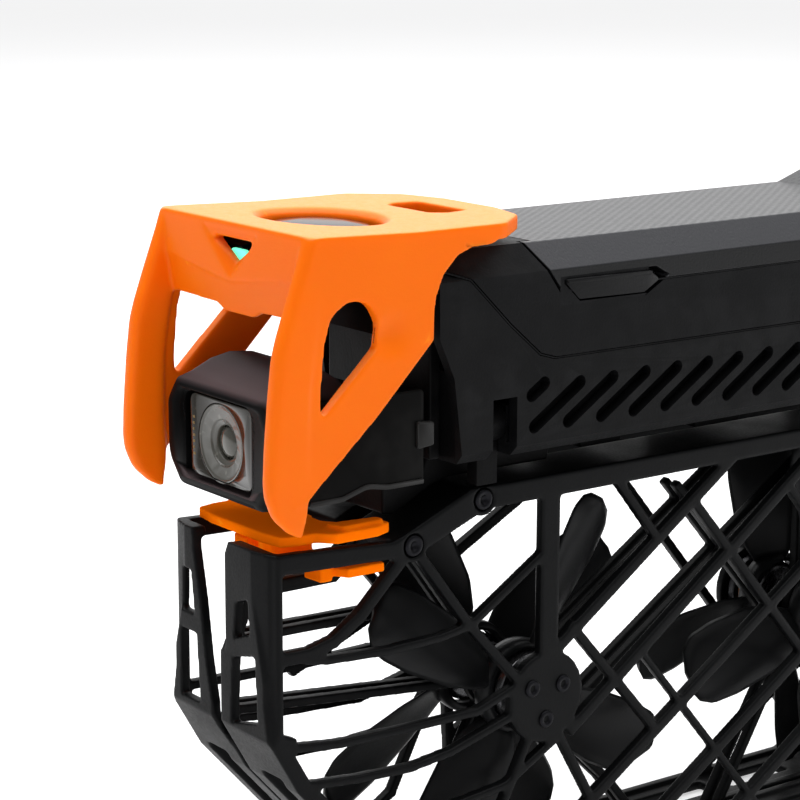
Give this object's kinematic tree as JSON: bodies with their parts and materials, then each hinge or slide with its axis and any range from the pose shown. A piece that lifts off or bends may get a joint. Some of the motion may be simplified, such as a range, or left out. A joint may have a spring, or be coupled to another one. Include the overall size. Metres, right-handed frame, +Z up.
{
  "type": "folding camera drone",
  "caption": "Palm-size folding camera drone with hinged propeller cages, a gimbal camera, a lift-off battery and a clip-on orange gimbal guard.",
  "frame": {"origin": "on the floor under the middle of the folded drone, at half its length, width and footprint", "axes": "+Z up, +Y towards the rear of the drone, -Y the way the camera looks, +X to the right cage as seen from above with the camera at the bottom"},
  "size_m": [0.0374, 0.1474, 0.1042],
  "materials": {
    "shell_black": "fine matte texture",
    "nose_black": "matte",
    "gloss_black": "polished",
    "button_grey": "satin",
    "led_green": "clear, lit green",
    "circuit_green": "solder mask",
    "plated_metal": "plated",
    "steel": "ground",
    "pack_black": "fine diagonal texture with a soft sheen",
    "cell_wrap": "film wrapped",
    "contact_gold": "gold flashed",
    "latch_black": "matte with polished edges",
    "motor_metal": "anodised",
    "motor_black": "black anodised",
    "camera_grey": "warm grey satin",
    "lens_ring": "satin black",
    "lens_glass": "coated glass",
    "guard_orange": "soft satin, printed flexible plastic",
    "cage_black": "moulded, satin",
    "prop_black": "moulded, satin",
    "screw_black": "black oxide"
  },
  "bodies": {
    "body": {"lower_shell": "shell_black", "upper_shell": "shell_black", "nose_housing": "nose_black", "status_led": "led_green", "main_board": "circuit_green", "usb_port": "plated_metal", "front_sensor_pod": "nose_black", "rear_sensor_pod": "nose_black", "downward_lens": "lens_glass", "chin_cover": "nose_black", "hinge_pin_front_right": "steel", "hinge_pin_front_left": "steel", "hinge_pin_rear_right": "steel", "hinge_pin_rear_left": "steel", "gimbal_bracket": "nose_black", "roll_motor": "motor_metal", "wing_clip": "guard_orange"},
    "power_button": {"power_button": "button_grey"},
    "mode_button": {"mode_button": "gloss_black"},
    "gimbal_guard": {"gimbal_guard": "guard_orange"},
    "battery": {"battery_case": "pack_black", "battery_cells": "cell_wrap", "battery_connector": "contact_gold"},
    "latch_right": {"latch_right": "latch_black"},
    "latch_left": {"latch_left": "latch_black"},
    "gimbal_arm": {"gimbal_arm": "camera_grey", "pitch_motor": "motor_metal"},
    "camera": {"camera_housing": "camera_grey", "camera_bezel": "camera_grey", "lens_window": "gloss_black", "lens_barrel": "lens_ring", "lens_element": "lens_glass"},
    "wing_right": {"cage_grille_right": "cage_black", "cage_rim_right": "cage_black", "cage_inner_right": "cage_black", "motor_front_right": "motor_black", "motor_rear_right": "motor_black", "hinge_arm_front_right": "cage_black", "hinge_arm_rear_right": "cage_black", "cage_screw_1_right": "screw_black", "cage_screw_2_right": "screw_black"},
    "wing_left": {"cage_grille_left": "cage_black", "cage_rim_left": "cage_black", "cage_inner_left": "cage_black", "motor_front_left": "motor_black", "motor_rear_left": "motor_black", "hinge_arm_front_left": "cage_black", "hinge_arm_rear_left": "cage_black", "cage_screw_1_left": "screw_black", "cage_screw_2_left": "screw_black"},
    "rotor_front_right": {"motor_bell_front_right": "motor_metal", "propeller_front_right": "prop_black"},
    "rotor_rear_right": {"motor_bell_rear_right": "motor_metal", "propeller_rear_right": "prop_black"},
    "rotor_front_left": {"motor_bell_front_left": "motor_metal", "propeller_front_left": "prop_black"},
    "rotor_rear_left": {"motor_bell_rear_left": "motor_metal", "propeller_rear_left": "prop_black"}
  },
  "joints": [
    {"name": "wing_right_hinge", "type": "hinge", "parent": "body", "child": "wing_right", "pos_m": [0.0117, -0.0333, 0.075], "axis": [0, -1, 0], "range_deg": [0, 90]},
    {"name": "wing_left_hinge", "type": "hinge", "parent": "body", "child": "wing_left", "pos_m": [-0.0117, -0.0333, 0.075], "axis": [0, 1, 0], "range_deg": [0, 90]},
    {"name": "rotor_front_right_spin", "type": "hinge", "parent": "wing_right", "child": "rotor_front_right", "pos_m": [0.0056, -0.0218, 0.0328], "axis": [1, 0, 0], "continuous": true},
    {"name": "rotor_rear_right_spin", "type": "hinge", "parent": "wing_right", "child": "rotor_rear_right", "pos_m": [0.0056, 0.0422, 0.0328], "axis": [1, 0, 0], "continuous": true},
    {"name": "rotor_front_left_spin", "type": "hinge", "parent": "wing_left", "child": "rotor_front_left", "pos_m": [-0.0056, -0.0218, 0.0328], "axis": [1, 0, 0], "continuous": true},
    {"name": "rotor_rear_left_spin", "type": "hinge", "parent": "wing_left", "child": "rotor_rear_left", "pos_m": [-0.0056, 0.0422, 0.0328], "axis": [1, 0, 0], "continuous": true},
    {"name": "gimbal_roll", "type": "hinge", "parent": "body", "child": "gimbal_arm", "pos_m": [0, -0.048, 0.0745], "axis": [0, 1, 0], "range_deg": [-12, 12]},
    {"name": "gimbal_pitch", "type": "hinge", "parent": "gimbal_arm", "child": "camera", "pos_m": [0, -0.062, 0.0745], "axis": [1, 0, 0], "range_deg": [-20, 90]},
    {"name": "guard_lift", "type": "slide", "parent": "body", "child": "gimbal_guard", "axis": [0, 0, 1], "range_m": [0, 0.045]},
    {"name": "battery_lift", "type": "slide", "parent": "body", "child": "battery", "axis": [0, 0, 1], "range_m": [0, 0.03]},
    {"name": "latch_right_press", "type": "slide", "parent": "battery", "child": "latch_right", "axis": [-1, 0, 0], "range_m": [0, 0.001], "stiffness_N_per_m": 800},
    {"name": "latch_left_press", "type": "slide", "parent": "battery", "child": "latch_left", "axis": [1, 0, 0], "range_m": [0, 0.001], "stiffness_N_per_m": 800},
    {"name": "power_button_press", "type": "slide", "parent": "body", "child": "power_button", "axis": [0, 0, -1], "range_m": [0, 0.0006], "stiffness_N_per_m": 800},
    {"name": "mode_button_press", "type": "slide", "parent": "body", "child": "mode_button", "axis": [0, 0, -1], "range_m": [0, 0.0004], "stiffness_N_per_m": 800}
  ]
}
